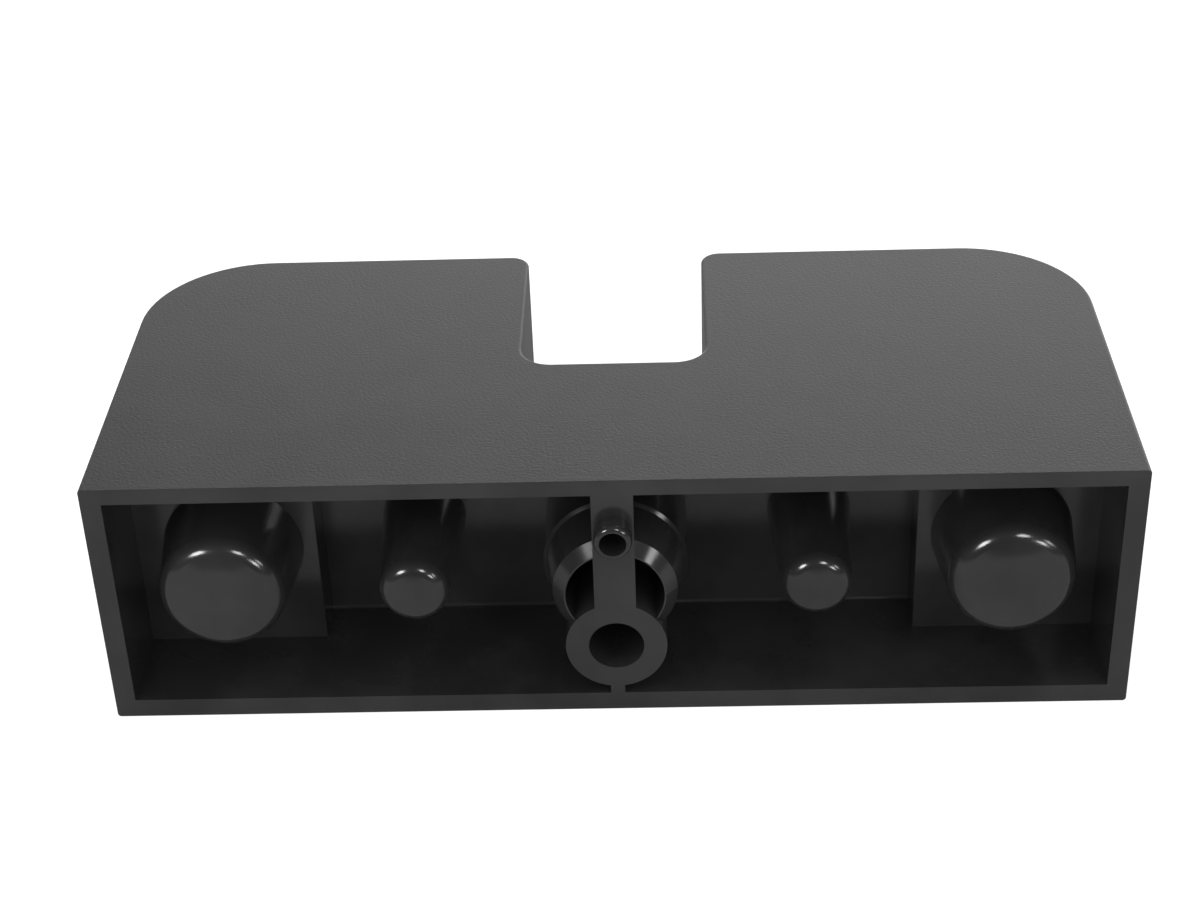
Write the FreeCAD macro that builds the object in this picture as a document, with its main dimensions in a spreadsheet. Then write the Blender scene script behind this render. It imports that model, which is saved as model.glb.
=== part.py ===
import FreeCAD, Part
import os
import Sketcher
from math import asin, cos, pi

# Moulded fuse block housing, open at the front, in millimetres.
# X runs along the block, Y goes from the open front to the back, Z is up.
# The origin is the middle of the underside of the whole part.
# Inside the body, Y starts at the open front face.
sizes = {
    # outside of the block
    "block_width": 100.0,
    "block_depth": 45.4,
    "block_height": 27.0,
    "rear_corner_radius": 12.7,
    "edge_radius": 0.35,
    # notch through the back edge
    "notch_width": 18.8,
    "notch_reach": 23.5,
    "notch_floor_radius": 3.2,
    "notch_lip_radius": 2.0,
    # walls round the open front and the stepped floor behind them
    "side_wall": 2.0,
    "top_wall": 1.7,
    "bottom_wall": 2.0,
    "step_depth": 10.0,
    "bay_depth": 15.0,
    "bay_width": 59.9,
    "bay_root_radius": 0.35,
    # posts that taper from the foot to a domed tip, with a small flat in its middle
    "tip_flat_radius": 0.4,
    # thick ones near the ends
    "post_spacing": 76.6,
    "post_foot_radius": 7.0,
    "post_radius": 6.2,
    "post_tip_radius": 1.9,
    "post_crown_radius": 14.4,
    "post_recess": 0.1,
    # thin ones between them
    "peg_spacing": 39.0,
    "peg_foot_radius": 4.2,
    "peg_radius": 3.4,
    "peg_tip_radius": 1.5,
    "peg_crown_radius": 7.3,
    "peg_recess": 0.55,
    # tube in the middle, bevelled at its end and thicker behind its shoulder
    "tube_foot_radius": 7.1,
    "tube_shoulder": 6.1,
    "tube_shoulder_bevel": 0.3,
    "tube_radius": 6.05,
    "tube_bevel": 1.1,
    "tube_recess": 0.4,
    "tube_bore_radius": 4.8,
    # screw boss, its web to the underside and the rib above it
    "boss_radius": 4.95,
    "boss_height": 7.8,
    "screw_radius": 2.7,
    "screw_depth": 12.0,
    "web_thickness": 1.4,
    "rib_thickness": 4.0,
    # small hollow stub on the rib, proud of the open front
    "stub_radius": 1.85,
    "stub_bore_radius": 1.3,
    "stub_lip_radius": 0.5,
    "stub_reach": 2.0,
    "stub_drop": 4.2,
}

doc = FreeCAD.newDocument("fuse_block")
sheet = doc.addObject("Spreadsheet::Sheet", "dims")
for row, (alias, value) in enumerate(sizes.items(), start=1):
    sheet.set(f"A{row}", alias.replace("_", " "))
    sheet.set(f"B{row}", str(value))
    sheet.setAlias(f"B{row}", alias)
doc.recompute()

body = doc.addObject("PartDesign::Body", "housing")
body.Label = "housing"
doc.recompute()

tolerance = 0.001


def origin_plane(role):
    """One of the three base planes that the body owns."""
    return next(f for f in body.Origin.OriginFeatures if f.Role == role)


def plan_sketch(name):
    """A sketch on the underside, seen from above."""
    sketch = body.newObject("Sketcher::SketchObject", name)
    sketch.AttachmentSupport = [(origin_plane("XY_Plane"), "")]
    sketch.MapMode = "FlatFace"
    return sketch


def front_sketch(name, depth="0"):
    """A sketch parallel to the open front, set back into the block by a depth."""
    sketch = body.newObject("Sketcher::SketchObject", name)
    sketch.AttachmentSupport = [(origin_plane("XZ_Plane"), "")]
    sketch.MapMode = "FlatFace"
    if depth != "0":
        sketch.setExpression("AttachmentOffset.Base.z", f"-({depth})")
    return sketch


def bind(sketch, kind, targets, name, expression):
    """Adds one named size to a sketch and ties it to the sheet."""
    index = sketch.addConstraint(Sketcher.Constraint(kind, *targets, size(expression)))
    sketch.renameConstraint(index, name)
    sketch.setExpression(f"Constraints.{name}", expression)
    return index


def size(expression):
    """The present value of an expression on the sheet."""
    return float(sheet.evalExpression(expression))


def outline(sketch, points):
    """Closed straight outline through the points, each corner joined to the next."""
    corners = [FreeCAD.Vector(x, y, 0) for x, y in points]
    following = corners[1:] + corners[:1]
    first = sketch.GeometryCount
    for start, end in zip(corners, following):
        sketch.addGeometry(Part.LineSegment(start, end), False)
    lines = list(range(first, sketch.GeometryCount))
    for line, next_line in zip(lines, lines[1:] + lines[:1]):
        sketch.addConstraint(Sketcher.Constraint("Coincident", line, 2, next_line, 1))
    return lines


def rectangle(sketch, width, low, high):
    """Rectangle centred on the upright axis, between two heights."""
    half = size(width) / 2
    bottom, top = size(low), size(high)
    base, right, head, left = outline(
        sketch, [(-half, bottom), (half, bottom), (half, top), (-half, top)])
    sketch.addConstraint(Sketcher.Constraint("Symmetric", base, 1, base, 2, -2))
    sketch.addConstraint(Sketcher.Constraint("Vertical", right))
    sketch.addConstraint(Sketcher.Constraint("Vertical", left))
    sketch.addConstraint(Sketcher.Constraint("Horizontal", head))
    bind(sketch, "DistanceX", (base, 1, base, 2), "width", width)
    bind(sketch, "DistanceY", (-1, 1, base, 1), "low", low)
    bind(sketch, "DistanceY", (-1, 1, head, 1), "high", high)


def circle(sketch, height, radius):
    """Circle on the upright axis."""
    centre = FreeCAD.Vector(0, size(height), 0)
    ring = sketch.addGeometry(Part.Circle(centre, FreeCAD.Vector(0, 0, 1), size(radius)), False)
    sketch.addConstraint(Sketcher.Constraint("PointOnObject", ring, 3, -2))
    bind(sketch, "DistanceY", (-1, 1, ring, 3), "height", height)
    bind(sketch, "Radius", (ring,), "radius", radius)


def turning_sketch(name, height, aside="0"):
    """A level sketch for a turned shape, its upright axis on the axis of turning."""
    sketch = plan_sketch(name)
    sketch.setExpression("AttachmentOffset.Base.z", height)
    if aside != "0":
        sketch.setExpression("AttachmentOffset.Base.x", aside)
    return sketch


def pad(name, sketch, length):
    """Adds material from the sketch towards the open front, or upwards from the plan."""
    feature = body.newObject("PartDesign::Pad", name)
    feature.Profile = sketch
    feature.setExpression("Length", length)
    sketch.Visibility = False
    doc.recompute()
    return feature


def pocket(name, sketch, length):
    """Cuts from the sketch away from the open front."""
    feature = body.newObject("PartDesign::Pocket", name)
    feature.Profile = sketch
    feature.setExpression("Length", length)
    feature.Reversed = False
    sketch.Visibility = False
    doc.recompute()
    return feature


def turn(name, sketch):
    """Turns half a section, drawn beside the sketch's upright axis, right round."""
    feature = body.newObject("PartDesign::Revolution", name)
    feature.Profile = sketch
    feature.ReferenceAxis = (sketch, ["V_Axis"])
    feature.Angle = 360
    sketch.Visibility = False
    doc.recompute()
    return feature


def mirror(name, feature):
    """Repeats a feature on the other side of the middle."""
    pair = body.newObject("PartDesign::Mirrored", name)
    pair.Originals = [feature]
    pair.MirrorPlane = (origin_plane("YZ_Plane"), [""])
    body.Tip = pair
    doc.recompute()
    return pair


def fillet(name, radius, wanted):
    """Rounds the edges of the body so far that a test picks out."""
    base = body.Tip
    names = [f"Edge{i}" for i, edge in enumerate(base.Shape.Edges, start=1) if wanted(edge)]
    if not names:
        raise RuntimeError(f"{name} finds no edge")
    feature = body.newObject("PartDesign::Fillet", name)
    feature.Base = (base, names)
    feature.setExpression("Radius", radius)
    doc.recompute()
    return feature


def near(value, target):
    return abs(value - target) < tolerance


def upright_at(x, y):
    """Test for upright edges at one place of the plan, on both sides of the middle."""
    def wanted(edge):
        ends = [vertex.Point for vertex in edge.Vertexes]
        if len(ends) != 2 or not near(ends[0].x, ends[1].x):
            return False
        return all(near(abs(p.x), x) and near(p.y, y) for p in ends)
    return wanted


def round_at(x, y, z, radius):
    """Test for circles that face the front, given by centre and radius, on both sides."""
    def wanted(edge):
        if edge.Degenerated or not isinstance(edge.Curve, Part.Circle):
            return False
        if not near(edge.Curve.Radius, radius):
            return False
        centre = edge.Curve.Center
        return near(abs(centre.x), x) and near(centre.y, y) and near(centre.z, z)
    return wanted


# Block: plan with the notch through its back edge, raised to the full height.
plan = plan_sketch("plan")
half_width = size("dims.block_width / 2")
half_notch = size("dims.notch_width / 2")
back = size("dims.block_depth")
notch_floor = size("dims.block_depth - dims.notch_reach")
front, right, back_right, cheek_right, floor, cheek_left, back_left, left = outline(plan, [
    (-half_width, 0),
    (half_width, 0),
    (half_width, back),
    (half_notch, back),
    (half_notch, notch_floor),
    (-half_notch, notch_floor),
    (-half_notch, back),
    (-half_width, back),
])
plan.addConstraint(Sketcher.Constraint("PointOnObject", front, 1, -1))
plan.addConstraint(Sketcher.Constraint("Symmetric", front, 1, front, 2, -2))
plan.addConstraint(Sketcher.Constraint("Symmetric", floor, 1, floor, 2, -2))
for upright in (right, cheek_right, cheek_left, left):
    plan.addConstraint(Sketcher.Constraint("Vertical", upright))
for level in (back_right, back_left):
    plan.addConstraint(Sketcher.Constraint("Horizontal", level))
plan.addConstraint(Sketcher.Constraint("Equal", right, left))
bind(plan, "DistanceX", (front, 1, front, 2), "block_width", "dims.block_width")
bind(plan, "DistanceY", (right, 1, right, 2), "block_depth", "dims.block_depth")
bind(plan, "DistanceX", (floor, 2, floor, 1), "notch_width", "dims.notch_width")
bind(plan, "DistanceY", (cheek_left, 1, cheek_left, 2), "notch_reach", "dims.notch_reach")
pad("block", plan, "dims.block_height")

fillet("rear_corners", "dims.rear_corner_radius", upright_at(half_width, back))
fillet("notch_floor_corners", "dims.notch_floor_radius", upright_at(half_notch, notch_floor))
fillet("notch_lips", "dims.notch_lip_radius", upright_at(half_notch, back))

# Open front: a shallow recess between the walls, and a deeper bay in its middle.
inside_width = "dims.block_width - 2 * dims.side_wall"
inside_top = "dims.block_height - dims.top_wall"
mouth = front_sketch("mouth")
rectangle(mouth, inside_width, "dims.bottom_wall", inside_top)
pocket("recess", mouth, "dims.step_depth")

bay_outline = front_sketch("bay_outline", "dims.step_depth")
rectangle(bay_outline, "dims.bay_width", "dims.bottom_wall", inside_top)
pocket("bay", bay_outline, "dims.bay_depth - dims.step_depth")


def bay_root(edge):
    ends = [vertex.Point for vertex in edge.Vertexes]
    return all(near(p.y, size("dims.bay_depth")) and near(p.z, size("dims.bottom_wall")) for p in ends)


fillet("bay_root", "dims.bay_root_radius", bay_root)

# Everything inside stands on the floor of the recess or the bay and points to the front.
middle = "dims.block_height / 2"
axis_height = size(middle)


def post_pair(kind, floor_depth):
    """Two round posts that taper to a tip with a rounded rim and a low crown."""
    foot_radius, radius, tip_radius, crown_radius, recess = [
        f"dims.{kind}_{part}"
        for part in ("foot_radius", "radius", "tip_radius", "crown_radius", "recess")]
    sketch = turning_sketch(f"{kind}_section", middle, f"dims.{kind}_spacing / 2")
    foot, slim, rim, crown, tip, deep = [
        size(length) for length in (foot_radius, radius, tip_radius, crown_radius, recess, floor_depth)]

    # flat, crown, rim, side, foot and axis, from the tip round to the tip again
    bend = asin((slim - rim) / (crown - rim))
    up = FreeCAD.Vector(0, 0, 1)
    crown_centre = FreeCAD.Vector(0, tip + crown, 0)
    rim_centre = FreeCAD.Vector(slim - rim, tip + crown - (crown - rim) * cos(bend), 0)
    rim_end = FreeCAD.Vector(slim, rim_centre.y, 0)
    foot_end = FreeCAD.Vector(foot, deep, 0)
    foot_middle = FreeCAD.Vector(0, deep, 0)
    tip_middle = FreeCAD.Vector(0, tip, 0)
    tip_edge = FreeCAD.Vector(size("dims.tip_flat_radius"), tip, 0)
    start = asin(tip_edge.x / crown)
    tip_flat, crown_arc, rim_arc, side, base, axis = sketch.addGeometry([
        Part.LineSegment(tip_middle, tip_edge),
        Part.ArcOfCircle(Part.Circle(crown_centre, up, crown), start - pi / 2, bend - pi / 2),
        Part.ArcOfCircle(Part.Circle(rim_centre, up, rim), bend - pi / 2, 0),
        Part.LineSegment(rim_end, foot_end),
        Part.LineSegment(foot_end, foot_middle),
        Part.LineSegment(foot_middle, tip_middle),
    ], False)
    for way, first, second in (
            ("Coincident", tip_flat, crown_arc), ("Tangent", crown_arc, rim_arc),
            ("Tangent", rim_arc, side), ("Coincident", side, base),
            ("Coincident", base, axis), ("Coincident", axis, tip_flat)):
        sketch.addConstraint(Sketcher.Constraint(way, first, 2, second, 1))
    for line, point in ((crown_arc, 3), (tip_flat, 1), (base, 2)):
        sketch.addConstraint(Sketcher.Constraint("PointOnObject", line, point, -2))
    for level in (tip_flat, base):
        sketch.addConstraint(Sketcher.Constraint("Horizontal", level))
    bind(sketch, "Radius", (crown_arc,), "crown_radius", crown_radius)
    bind(sketch, "Radius", (rim_arc,), "tip_radius", tip_radius)
    bind(sketch, "DistanceX", (-1, 1, tip_flat, 2), "flat_radius", "dims.tip_flat_radius")
    bind(sketch, "DistanceX", (-1, 1, side, 1), "radius", radius)
    bind(sketch, "DistanceX", (-1, 1, side, 2), "foot_radius", foot_radius)
    bind(sketch, "DistanceY", (-1, 1, tip_flat, 1), "recess", recess)
    bind(sketch, "DistanceY", (-1, 1, base, 2), "floor_depth", floor_depth)
    mirror(f"{kind}_pair", turn(kind, sketch))


post_pair("post", "dims.step_depth")
post_pair("peg", "dims.bay_depth")

# Tube: bevelled at its end, it slopes out to a shoulder and runs straight to the bay's floor.
tube_section = turning_sketch("tube_section", middle)
end_depth, shoulder, bay_floor = [
    size(depth) for depth in ("dims.tube_recess", "dims.tube_shoulder", "dims.bay_depth")]
slim, broad = size("dims.tube_radius"), size("dims.tube_foot_radius")
end_bevel, nick = size("dims.tube_bevel"), size("dims.tube_shoulder_bevel")
end_face, bevel, slope, shoulder_bevel, side, base, axis = outline(tube_section, [
    (0, end_depth),
    (slim - end_bevel, end_depth),
    (slim, end_depth + end_bevel),
    (broad - nick, shoulder),
    (broad, shoulder + nick),
    (broad, bay_floor),
    (0, bay_floor),
])
for line in (end_face, axis):
    tube_section.addConstraint(Sketcher.Constraint("PointOnObject", line, 1, -2))
for level in (end_face, base):
    tube_section.addConstraint(Sketcher.Constraint("Horizontal", level))
tube_section.addConstraint(Sketcher.Constraint("Vertical", side))
bind(tube_section, "DistanceX", (-1, 1, slope, 1), "radius", "dims.tube_radius")
bind(tube_section, "DistanceX", (-1, 1, side, 1), "foot_radius", "dims.tube_foot_radius")
bind(tube_section, "DistanceX", (bevel, 1, bevel, 2), "bevel_width", "dims.tube_bevel")
bind(tube_section, "DistanceY", (bevel, 1, bevel, 2), "bevel_depth", "dims.tube_bevel")
bind(tube_section, "DistanceX", (shoulder_bevel, 1, shoulder_bevel, 2), "nick_width",
     "dims.tube_shoulder_bevel")
bind(tube_section, "DistanceY", (shoulder_bevel, 1, shoulder_bevel, 2), "nick_depth",
     "dims.tube_shoulder_bevel")
bind(tube_section, "DistanceY", (-1, 1, end_face, 1), "recess", "dims.tube_recess")
bind(tube_section, "DistanceY", (-1, 1, slope, 2), "shoulder", "dims.tube_shoulder")
bind(tube_section, "DistanceY", (-1, 1, base, 2), "floor_depth", "dims.bay_depth")
turn("tube", tube_section)
tube_bore = front_sketch("tube_bore_outline", "dims.tube_recess")
circle(tube_bore, middle, "dims.tube_bore_radius")
pocket("tube_bore", tube_bore, "dims.bay_depth - dims.tube_recess")

# Screw boss, web and rib come flush with the open front.
boss_outline = front_sketch("boss_outline", "dims.bay_depth")
circle(boss_outline, "dims.boss_height", "dims.boss_radius")
pad("boss", boss_outline, "dims.bay_depth")

rib_outline = front_sketch("rib_outline", "dims.bay_depth")
rectangle(rib_outline, "dims.rib_thickness", "dims.boss_height",
          "dims.block_height - dims.top_wall / 2")
pad("rib", rib_outline, "dims.bay_depth")

web_outline = front_sketch("web_outline", "dims.bay_depth")
rectangle(web_outline, "dims.web_thickness", "dims.bottom_wall / 2", "dims.boss_height")
pad("web", web_outline, "dims.bay_depth")

screw_outline = front_sketch("screw_outline")
circle(screw_outline, "dims.boss_height", "dims.screw_radius")
pocket("screw_bore", screw_outline, "dims.screw_depth")

# Small hollow stub on the rib, proud of the open front, a little below the top wall.
stub_height = "dims.block_height - dims.top_wall - dims.stub_drop"
stub_outline = front_sketch("stub_outline")
circle(stub_outline, stub_height, "dims.stub_radius")
pad("stub", stub_outline, "dims.stub_reach")
stub_bore_outline = front_sketch("stub_bore_outline", "-dims.stub_reach")
circle(stub_bore_outline, stub_height, "dims.stub_bore_radius")
pocket("stub_bore", stub_bore_outline, "2 * dims.stub_reach")
fillet("stub_lip", "dims.stub_lip_radius",
       round_at(0, -size("dims.stub_reach"), size(stub_height), size("dims.stub_radius")))


# Outer edges: a light rounding round the top and the underside, with the open front left sharp.
def outer_edge(edge):
    ends = [vertex.Point for vertex in edge.Vertexes]
    if all(near(p.y, 0) for p in ends):
        return False
    return any(all(near(p.z, level) for p in ends) for level in (0, size("dims.block_height")))


fillet("outer_edges", "dims.edge_radius", outer_edge)

# The part's origin is under the middle of its full depth, stub included.
body.setExpression("Placement.Base.y", "(dims.stub_reach - dims.block_depth) / 2")
doc.recompute()

for item in doc.Objects:
    if "Invalid" in item.State or "Error" in item.State:
        raise RuntimeError(f"{item.Name} failed")

solids = [f for f in body.Group if f.isDerivedFrom("PartDesign::Feature")]
adding = ("PartDesign::Pad", "PartDesign::Revolution", "PartDesign::Mirrored")
for earlier, later in zip(solids, solids[1:]):
    change = later.Shape.Volume - earlier.Shape.Volume
    if later.TypeId in adding and change <= 0:
        raise RuntimeError(f"{later.Name} adds nothing")
    if later.TypeId == "PartDesign::Pocket" and change >= 0:
        raise RuntimeError(f"{later.Name} cuts nothing")

os.makedirs("parts", exist_ok=True)
for part in [body]:
    shape = part.Shape
    if shape.isNull() or not shape.isValid() or len(shape.Solids) != 1:
        raise RuntimeError(f"{part.Label} is not one sound solid")
    shape.exportStep(f"parts/{part.Label}.step")
    box = shape.optimalBoundingBox()
    print(part.Label, "volume", round(shape.Volume, 1), "faces", len(shape.Faces),
          "x", round(box.XMin, 3), round(box.XMax, 3),
          "y", round(box.YMin, 3), round(box.YMax, 3),
          "z", round(box.ZMin, 3), round(box.ZMax, 3))
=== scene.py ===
import bpy
from math import cos, radians, sin
from mathutils import Matrix, Vector


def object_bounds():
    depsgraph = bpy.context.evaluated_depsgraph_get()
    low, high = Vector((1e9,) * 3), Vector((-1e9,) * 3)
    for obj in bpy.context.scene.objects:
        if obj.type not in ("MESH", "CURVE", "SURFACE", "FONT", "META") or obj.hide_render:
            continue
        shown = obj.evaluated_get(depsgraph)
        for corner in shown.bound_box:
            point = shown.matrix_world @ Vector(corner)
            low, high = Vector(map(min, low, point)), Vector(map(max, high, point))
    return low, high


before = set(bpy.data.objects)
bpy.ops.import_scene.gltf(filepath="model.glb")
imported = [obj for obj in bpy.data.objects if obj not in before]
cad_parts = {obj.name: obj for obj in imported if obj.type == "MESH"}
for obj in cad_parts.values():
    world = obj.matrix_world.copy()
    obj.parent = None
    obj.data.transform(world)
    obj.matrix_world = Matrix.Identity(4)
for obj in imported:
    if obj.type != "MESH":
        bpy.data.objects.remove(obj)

cadLow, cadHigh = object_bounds()
bpy.ops.object.select_all(action="DESELECT")
scene = bpy.context.scene
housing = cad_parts["housing"]
mm = 0.001
print("frame loaded, box", [round(v / mm, 1) for v in cadHigh - cadLow], "mm")


def hexColour(code):  # sRGB hex to the linear values that shaders take
    parts = [int(code[i:i + 2], 16) / 255 for i in (1, 3, 5)]
    linear = [c / 12.92 if c <= 0.04045 else ((c + 0.055) / 1.055) ** 2.4 for c in parts]
    return (*linear, 1.0)


def addNode(tree, kind, settings, links):  # one node, its settings and what feeds it
    node = tree.nodes.new(kind)
    for name, value in settings.items():
        if isinstance(name, int) or name in node.inputs:
            node.inputs[name].default_value = value
        else:
            setattr(node, name, value)
    for name, source in links.items():
        tree.links.new(source, node.inputs[name])
    return node


def emptyTree(owner):  # a material or world with its nodes cleared
    owner.use_nodes = True
    owner.node_tree.nodes.clear()
    return owner.node_tree


# Housing: black nylon, injection moulded. The open front and everything in it come off
# polished steel and mirror the table and the lamps. The outside comes off a mould face
# with a fine spark-eroded grain, so it is an even satin.
moulding = {
    "colour": "#242424",            # dyed through, so the same inside and out
    "cloudColour": "#2f2f2f",       # paler clouds where the resin flowed unevenly
    "cloudSize": 9.0,               # mm
    "cloudDetail": 3.0,
    "cloudEdges": (0.35, 0.65),     # noise levels between which the colour changes
    "grainSize": 0.30,              # mm, coarse enough to show from the camera
    "grainHeight": 0.030,           # mm
    "grainDetail": 2.0,
    "grainRoughness": 0.6,          # share that each finer layer of the grain keeps
    "grainedRoughness": 0.48,
    "grainedSpread": 0.02,          # up and down from that, with the clouds
    "grainedEdges": (0.3, 0.7),     # noise levels between which it changes
    "polishedRoughness": 0.17,
    "polishedWave": 2.5,            # mm, faint unevenness of the polished faces
    "polishedWaveDetail": 1.0,
    "polishedWaveHeight": 0.0006,   # mm
    "ior": 1.5,
    "skin": 0.1,                    # mm that the polished zone stays inside the outer faces
    "polishedDepth": 15.5,          # mm that it reaches behind the open front
    "stubReach": 2.0,               # mm that the small stub stands out of the front
}


def mouldedNylon():
    m = moulding
    made = bpy.data.materials.new("mouldedBlackNylon")
    tree = emptyTree(made)
    place = addNode(tree, "ShaderNodeTexCoord", {}, {}).outputs["Object"]

    # polished zone: a box just inside the outer faces, from the front to the bay floor
    low = Vector((cadLow.x + m["skin"] * mm, cadLow.y - mm, cadLow.z + m["skin"] * mm))
    deepest = cadLow.y + (m["stubReach"] + m["polishedDepth"]) * mm
    high = Vector((cadHigh.x - m["skin"] * mm, deepest, cadHigh.z - m["skin"] * mm))
    shifted = addNode(tree, "ShaderNodeVectorMath",
                      {"operation": "SUBTRACT", 1: (low + high) / 2}, {0: place})
    scaled = addNode(tree, "ShaderNodeVectorMath",
                     {"operation": "DIVIDE", 1: (high - low) / 2}, {0: shifted.outputs[0]})
    folded = addNode(tree, "ShaderNodeVectorMath", {"operation": "ABSOLUTE"},
                     {0: scaled.outputs[0]})
    axes = addNode(tree, "ShaderNodeSeparateXYZ", {}, {0: folded.outputs[0]})
    wide = addNode(tree, "ShaderNodeMath", {"operation": "MAXIMUM"},
                   {0: axes.outputs[0], 1: axes.outputs[1]})
    widest = addNode(tree, "ShaderNodeMath", {"operation": "MAXIMUM"},
                     {0: wide.outputs[0], 1: axes.outputs[2]})
    polished = addNode(tree, "ShaderNodeMath", {"operation": "LESS_THAN", 1: 1.0},
                       {0: widest.outputs[0]}).outputs[0]

    clouds = addNode(tree, "ShaderNodeTexNoise",
                     {"Scale": 1 / (m["cloudSize"] * mm), "Detail": m["cloudDetail"]},
                     {"Vector": place}).outputs["Fac"]
    begin, end = m["cloudEdges"]
    cloudy = addNode(tree, "ShaderNodeMapRange", {"From Min": begin, "From Max": end},
                     {"Value": clouds}).outputs[0]
    plain, pale = hexColour(m["colour"]), hexColour(m["cloudColour"])
    colour = addNode(tree, "ShaderNodeMix", {"data_type": "RGBA", 6: plain, 7: pale},
                     {0: cloudy}).outputs[2]

    grain = addNode(tree, "ShaderNodeTexNoise",
                    {"Scale": 1 / (m["grainSize"] * mm), "Detail": m["grainDetail"],
                     "Roughness": m["grainRoughness"]},
                    {"Vector": place}).outputs["Fac"]
    wave = addNode(tree, "ShaderNodeTexNoise",
                   {"Scale": 1 / (m["polishedWave"] * mm), "Detail": m["polishedWaveDetail"]},
                   {"Vector": place}).outputs["Fac"]
    tall = addNode(tree, "ShaderNodeMath",
                   {"operation": "MULTIPLY", 1: m["grainHeight"] * mm}, {0: grain}).outputs[0]
    flat = addNode(tree, "ShaderNodeMath",
                   {"operation": "MULTIPLY", 1: m["polishedWaveHeight"] * mm}, {0: wave}).outputs[0]
    height = addNode(tree, "ShaderNodeMix", {"data_type": "FLOAT"},
                     {0: polished, 2: tall, 3: flat}).outputs[0]
    bump = addNode(tree, "ShaderNodeBump", {"Strength": 1.0, "Distance": 1.0}, {"Height": height})

    begin, end = m["grainedEdges"]
    finest = m["grainedRoughness"] - m["grainedSpread"]
    coarsest = m["grainedRoughness"] + m["grainedSpread"]
    grained = addNode(tree, "ShaderNodeMapRange",
                      {"From Min": begin, "From Max": end, "To Min": finest, "To Max": coarsest},
                      {"Value": clouds}).outputs[0]
    roughness = addNode(tree, "ShaderNodeMix", {"data_type": "FLOAT", 3: m["polishedRoughness"]},
                        {0: polished, 2: grained}).outputs[0]
    surface = addNode(tree, "ShaderNodeBsdfPrincipled", {"IOR": m["ior"]},
                      {"Base Color": colour, "Roughness": roughness, "Normal": bump.outputs[0]})
    addNode(tree, "ShaderNodeOutputMaterial", {}, {"Surface": surface.outputs[0]})
    return made


housing.data.materials.clear()
housing.data.materials.append(mouldedNylon())
print("housing finished")


# Studio: a white table that ends short in front, a bright backdrop and four soft lamps.
studio = {
    "tableSize": 6.0,               # m
    "tableGap": 0.05,               # mm under the block, so that the two faces don't coincide
    "tableFront": 0.20,             # m from the block's middle to the table's front edge
    "tableColour": "#cacaca",
    "tableToCamera": 0.7,           # added for the camera, so that the table shows white
    "skyToCamera": 1.3,             # the camera sees white past the table's edge
    "aroundBehind": 0.6,            # soft light from behind
    "aroundFront": 1.7,             # and from the front, which reaches into the open side
    "backdropWay": (0.20, 0.92, -0.32),   # towards the bright backdrop, low behind on the right
    "backdropEdge": 0.61,           # share of that way at which the backdrop begins
    "backdropFull": 0.727,          # and at which it is brightest
    "backdropLevel": 4.2,           # brightest part, mirrored in the top of the block
    "frontLevel": 0.12,             # dim room in front and overhead, mirrored inside
}
lamps = {                           # direction from the block, width in m, watts, all 1 m away
    "lampLeft": {"from": (-0.556, -0.648, 0.520), "size": 0.30, "watts": 5.5},
    "lampMiddle": {"from": (0.321, -0.655, 0.684), "size": 0.24, "watts": 2.5},
    "lampRight": {"from": (0.603, -0.740, 0.298), "size": 0.20, "watts": 1.9},
    "lampSide": {"from": (0.790, -0.480, 0.380), "size": 0.20, "watts": 0.9},
}


def tablePlane():
    behind = studio["tableSize"] / 2 - studio["tableFront"]
    place = (0, behind, cadLow.z - studio["tableGap"] * mm)
    bpy.ops.mesh.primitive_plane_add(size=studio["tableSize"], location=place)
    table = bpy.context.object
    table.name = "table"
    made = bpy.data.materials.new("whiteTable")
    tree = emptyTree(made)
    rays = addNode(tree, "ShaderNodeLightPath", {}, {})
    seen = addNode(tree, "ShaderNodeMath", {"operation": "MULTIPLY", 1: studio["tableToCamera"]},
                   {0: rays.outputs["Is Camera Ray"]})
    paint = addNode(tree, "ShaderNodeBsdfDiffuse", {"Color": hexColour(studio["tableColour"])}, {})
    glow = addNode(tree, "ShaderNodeEmission", {}, {"Strength": seen.outputs[0]})
    both = addNode(tree, "ShaderNodeAddShader", {}, {0: paint.outputs[0], 1: glow.outputs[0]})
    # clear from below, so that the block can be looked at from under the table
    below = addNode(tree, "ShaderNodeNewGeometry", {}, {}).outputs["Backfacing"]
    clear = addNode(tree, "ShaderNodeBsdfTransparent", {}, {})
    oneSided = addNode(tree, "ShaderNodeMixShader", {},
                       {0: below, 1: both.outputs[0], 2: clear.outputs[0]})
    addNode(tree, "ShaderNodeOutputMaterial", {}, {"Surface": oneSided.outputs[0]})
    table.data.materials.append(made)


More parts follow.
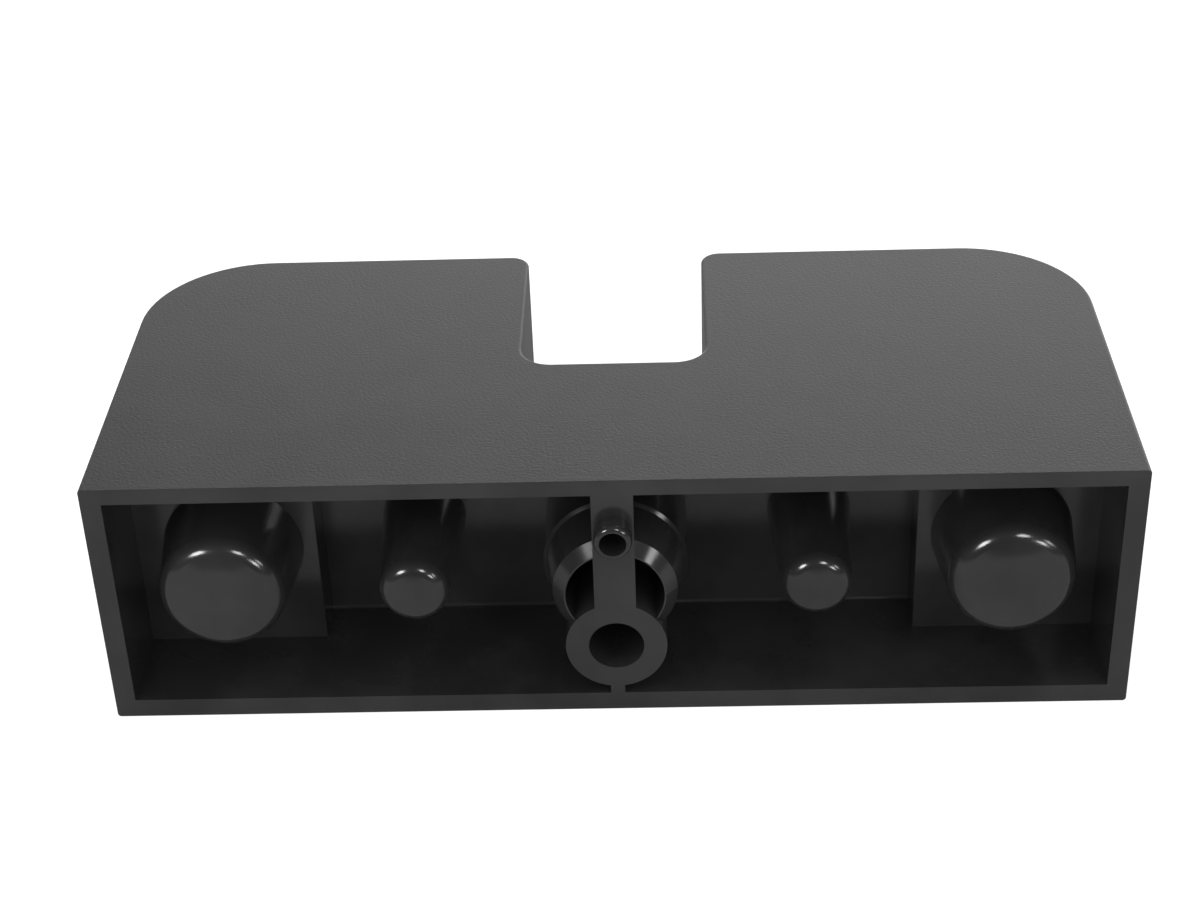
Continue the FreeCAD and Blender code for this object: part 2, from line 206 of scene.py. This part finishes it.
def studioWorld():
    world = bpy.data.worlds.new("studio")
    scene.world = world
    tree = emptyTree(world)
    rays = addNode(tree, "ShaderNodeLightPath", {}, {})
    way = addNode(tree, "ShaderNodeTexCoord", {}, {}).outputs["Generated"]
    backdrop = Vector(studio["backdropWay"]).normalized()
    share = addNode(tree, "ShaderNodeVectorMath", {"operation": "DOT_PRODUCT", 1: backdrop},
                    {0: way}).outputs["Value"]    # 1 straight at the backdrop, -1 straight away
    behind = addNode(tree, "ShaderNodeMapRange",
                     {"From Min": studio["backdropEdge"], "From Max": studio["backdropFull"],
                      "To Min": studio["frontLevel"], "To Max": studio["backdropLevel"]},
                     {"Value": share})
    around = addNode(tree, "ShaderNodeMapRange",
                     {"From Min": -1.0, "To Min": studio["aroundFront"],
                      "To Max": studio["aroundBehind"]},
                     {"Value": share})
    lit = addNode(tree, "ShaderNodeMix", {"data_type": "FLOAT"},
                  {0: rays.outputs["Is Glossy Ray"], 2: around.outputs[0], 3: behind.outputs[0]})
    level = addNode(tree, "ShaderNodeMix", {"data_type": "FLOAT", 3: studio["skyToCamera"]},
                    {0: rays.outputs["Is Camera Ray"], 2: lit.outputs[0]})
    glow = addNode(tree, "ShaderNodeBackground", {}, {"Strength": level.outputs[0]})
    addNode(tree, "ShaderNodeOutputWorld", {}, {"Surface": glow.outputs[0]})


def addLamp(name, lamp):
    direction = Vector(lamp["from"]).normalized()
    data = bpy.data.lights.new(name, "AREA")
    data.shape = "DISK"
    data.size = lamp["size"]
    data.energy = lamp["watts"]
    made = bpy.data.objects.new(name, data)
    scene.collection.objects.link(made)
    made.location = direction
    made.rotation_euler = (-direction).to_track_quat("-Z", "Y").to_euler()
    made.visible_diffuse = False    # mirrored as highlights only, the world gives the soft light


tablePlane()
studioWorld()
for lampName, lamp in lamps.items():
    addLamp(lampName, lamp)
print("studio lit")


# Camera: close above the open front, a little to the right of the middle.
view = {
    "place": (0.0051, -0.1980, 0.1420),   # m
    "down": 32.30,                        # degrees below the horizon
    "aside": -1.95,                       # degrees from straight ahead, minus is to the left
    "roll": 2.15,                         # degrees
    "lens": 68.0,                         # mm
    "sensor": 36.0,                       # mm wide
}


def addCamera():
    data = bpy.data.cameras.new("camera")
    data.lens = view["lens"]
    data.sensor_width = view["sensor"]
    data.clip_start = mm
    made = bpy.data.objects.new("camera", data)
    scene.collection.objects.link(made)
    down, aside, roll = [radians(view[k]) for k in ("down", "aside", "roll")]
    ahead = Vector((sin(aside) * cos(down), cos(aside) * cos(down), -sin(down)))
    level = Vector((cos(aside), -sin(aside), 0))
    drop = ahead.cross(level)
    right = level * cos(roll) + drop * sin(roll)
    up = level * sin(roll) - drop * cos(roll)
    turn = Matrix((right, up, -ahead)).transposed().to_4x4()
    made.matrix_world = Matrix.Translation(view["place"]) @ turn
    scene.camera = made


addCamera()
scene.view_settings.view_transform = "Standard"
print("camera set")
